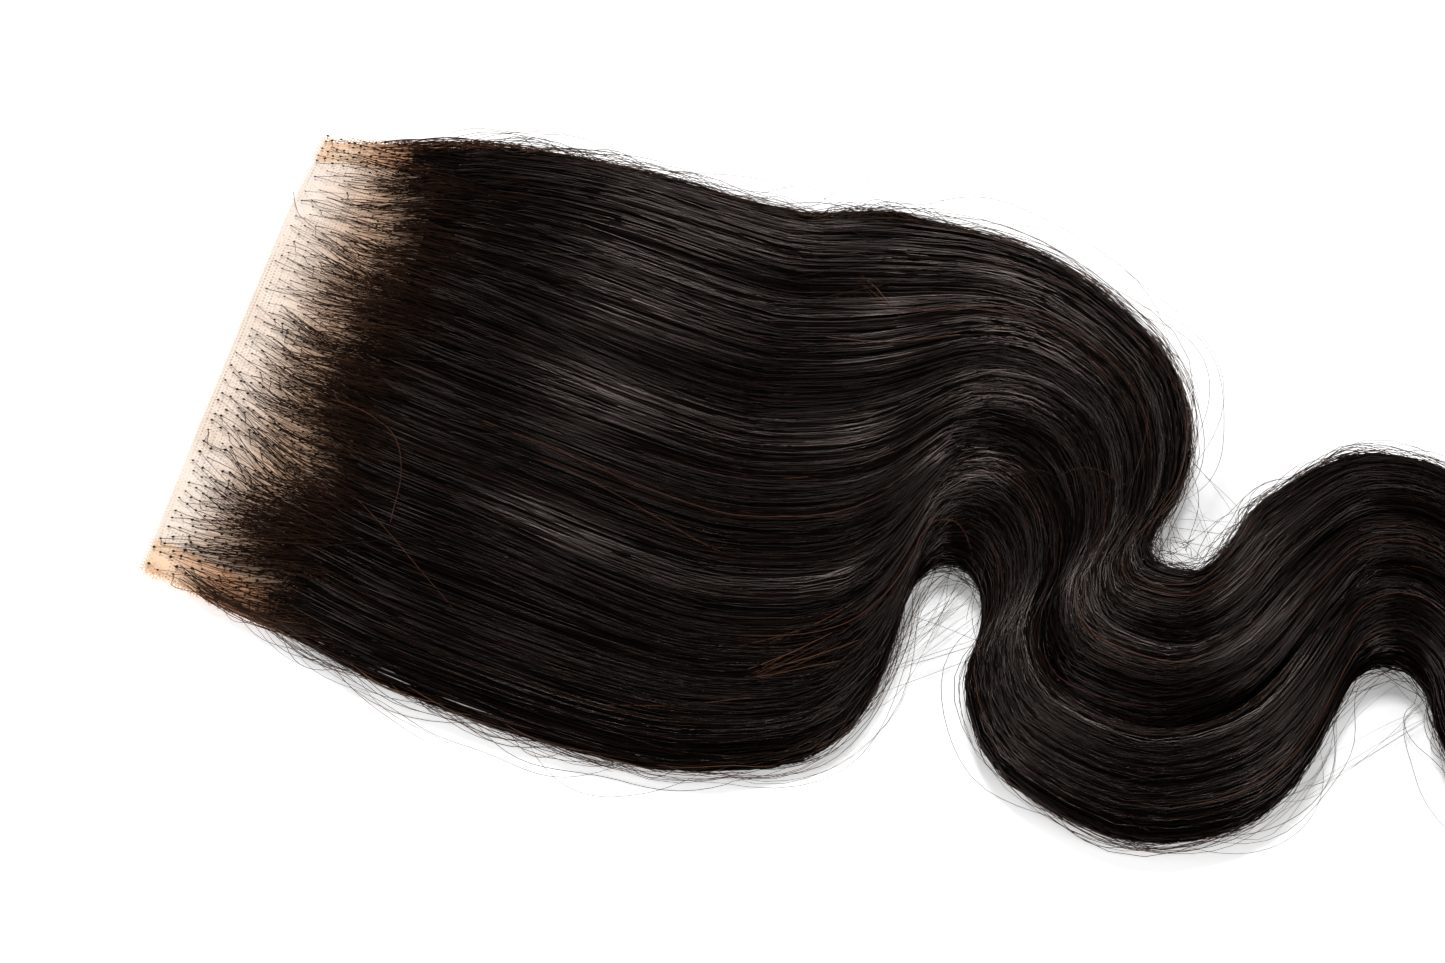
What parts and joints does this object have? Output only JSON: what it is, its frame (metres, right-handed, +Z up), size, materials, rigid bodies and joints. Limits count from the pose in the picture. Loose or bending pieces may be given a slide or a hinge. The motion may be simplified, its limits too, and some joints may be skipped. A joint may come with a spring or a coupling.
{
  "type": "lace closure hairpiece",
  "caption": "Domed square of fine lace with doubled side edges and a dark fall of body-wave hair tied to it, lying flat.",
  "frame": {"origin": "middle of the footprint, on the surface that the closure lies on", "axes": "+X from the straight front cut of the lace towards the tips of the hair, +Y across the lace towards its far band, +Z up out of the surface"},
  "size_m": [0.2914, 0.1242, 0.016],
  "materials": {
    "lace": "fine pale brown net, matt",
    "edge_band": "doubled tan net, matt",
    "hair": "smooth dark brown hair, satin sheen"
  },
  "bodies": {
    "root": {"lace_base": "lace", "edge_band_far": "edge_band", "edge_band_near": "edge_band", "hair": "hair"}
  },
  "joints": []
}
